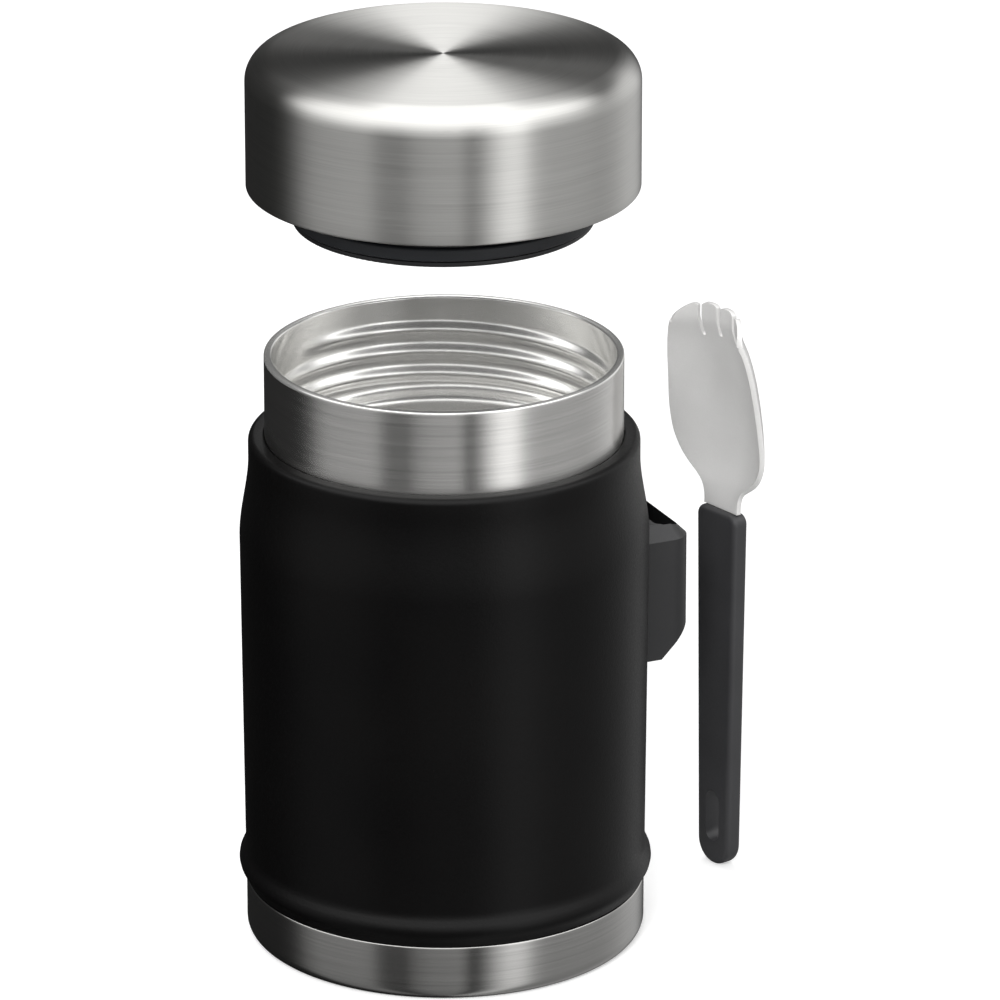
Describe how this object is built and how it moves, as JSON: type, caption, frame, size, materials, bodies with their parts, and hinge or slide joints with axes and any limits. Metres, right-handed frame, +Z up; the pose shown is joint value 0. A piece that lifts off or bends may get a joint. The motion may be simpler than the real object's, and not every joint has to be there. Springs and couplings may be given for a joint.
{
  "type": "insulated food jar",
  "caption": "Vacuum-insulated steel food jar with a screw-on insulated lid, a side loop that holds a spork, and the spork.",
  "frame": {"origin": "centre of the base, on the surface the jar stands on", "axes": "+Z up along the jar's axis, +X through the spork holder"},
  "size_m": [0.127, 0.096, 0.2127],
  "materials": {
    "base_cup": "brushed",
    "body_shell": "matt powder coat",
    "neck_collar": "brushed",
    "inner_vessel": "satin",
    "vacuum_bottom": "as pressed",
    "seal_button": "opaque sealing glass",
    "getter": "sintered",
    "holder_bracket": "as pressed",
    "spork_holder": "moulded",
    "lid_shell": "brushed",
    "lid_liner": "moulded",
    "lid_plug": "moulded",
    "plug_cover": "moulded",
    "lid_foam": "foam",
    "seal_ring": "silicone",
    "spork_grip": "moulded",
    "spork_blade": "satin"
  },
  "bodies": {
    "jar": {"base_cup": "base_cup", "body_shell": "body_shell", "neck_collar": "neck_collar", "inner_vessel": "inner_vessel", "vacuum_bottom": "vacuum_bottom", "seal_button": "seal_button", "getter": "getter", "holder_bracket": "holder_bracket", "spork_holder": "spork_holder"},
    "seal": {"seal_ring": "seal_ring"},
    "lid": {"lid_shell": "lid_shell", "lid_liner": "lid_liner", "lid_plug": "lid_plug", "plug_cover": "plug_cover", "lid_foam": "lid_foam"},
    "spork": {"spork_blade": "spork_blade", "spork_grip": "spork_grip"}
  },
  "joints": [
    {"name": "lid_rise", "type": "slide", "parent": "jar", "child": "seal", "axis": [0, 0, 1], "range_m": [-0.05945, 0.01085]},
    {"name": "lid_turn", "type": "hinge", "parent": "seal", "child": "lid", "pos_m": [0, 0, 0.19], "axis": [0, 0, 1], "range_deg": [-3960, 720]},
    {"name": "spork_lift", "type": "slide", "parent": "jar", "child": "spork", "axis": [0, 0, 1], "range_m": [0, 0.1]}
  ],
  "couplings": [
    {"joint": "lid_rise", "follows": "lid_turn", "m_per_rad": 0.00085944}
  ]
}
